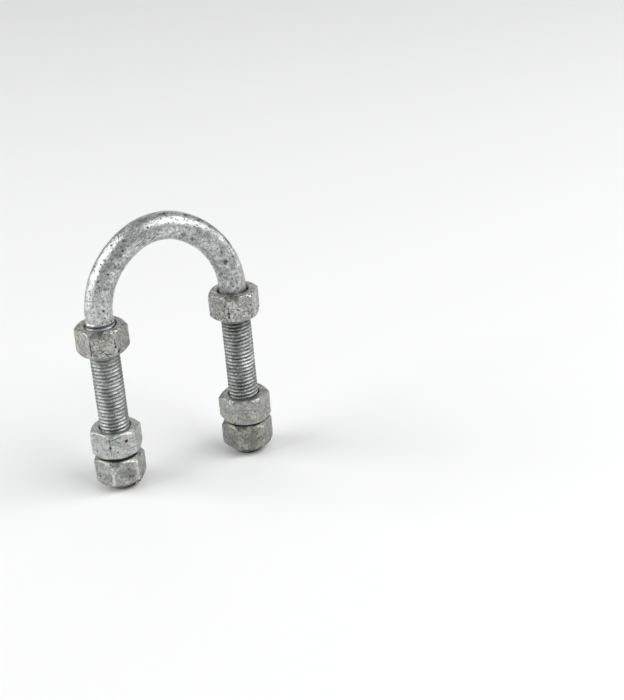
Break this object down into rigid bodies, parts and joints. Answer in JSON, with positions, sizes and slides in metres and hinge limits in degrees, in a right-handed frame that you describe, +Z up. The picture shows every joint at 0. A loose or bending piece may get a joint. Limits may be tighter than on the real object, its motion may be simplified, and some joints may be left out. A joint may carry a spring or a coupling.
{
  "type": "u-bolt",
  "caption": "Round steel bar bent into a U with threaded legs, each with a hexagon nut under the bow and a clamp nut and lock nut near its end.",
  "frame": {"origin": "midway between the two leg ends, in the plane of their end faces", "axes": "+Z up from the leg ends through the crown of the bow; +X from the left leg to the right leg; Y along the pipe or bar that the bow goes round"},
  "size_m": [0.1007, 0.0274, 0.144],
  "materials": {
    "rod_zinc": "hot-dip galvanised, satin",
    "nut_zinc": "hot-dip galvanised, dull and speckled"
  },
  "bodies": {
    "rod": {"u_rod": "rod_zinc"},
    "left_upper": {"left_upper_nut": "nut_zinc"},
    "right_upper": {"right_upper_nut": "nut_zinc"},
    "left_lock": {"left_lock_nut": "nut_zinc"},
    "right_lock": {"right_lock_nut": "nut_zinc"},
    "left_clamp": {"left_clamp_nut": "nut_zinc"},
    "right_clamp": {"right_clamp_nut": "nut_zinc"}
  },
  "joints": [
    {"name": "left_upper_travel", "type": "slide", "parent": "rod", "child": "left_upper", "axis": [0, 0, 1], "range_m": [-0.016, 0]},
    {"name": "right_upper_travel", "type": "slide", "parent": "rod", "child": "right_upper", "axis": [0, 0, 1], "range_m": [-0.016, 0]},
    {"name": "left_lock_travel", "type": "slide", "parent": "rod", "child": "left_lock", "axis": [0, 0, 1], "range_m": [-0.002, 0.008]},
    {"name": "right_lock_travel", "type": "slide", "parent": "rod", "child": "right_lock", "axis": [0, 0, 1], "range_m": [-0.002, 0.008]},
    {"name": "left_clamp_travel", "type": "slide", "parent": "left_lock", "child": "left_clamp", "axis": [0, 0, 1], "range_m": [-0.0014, 0.016]},
    {"name": "right_clamp_travel", "type": "slide", "parent": "right_lock", "child": "right_clamp", "axis": [0, 0, 1], "range_m": [-0.0007, 0.016]}
  ]
}
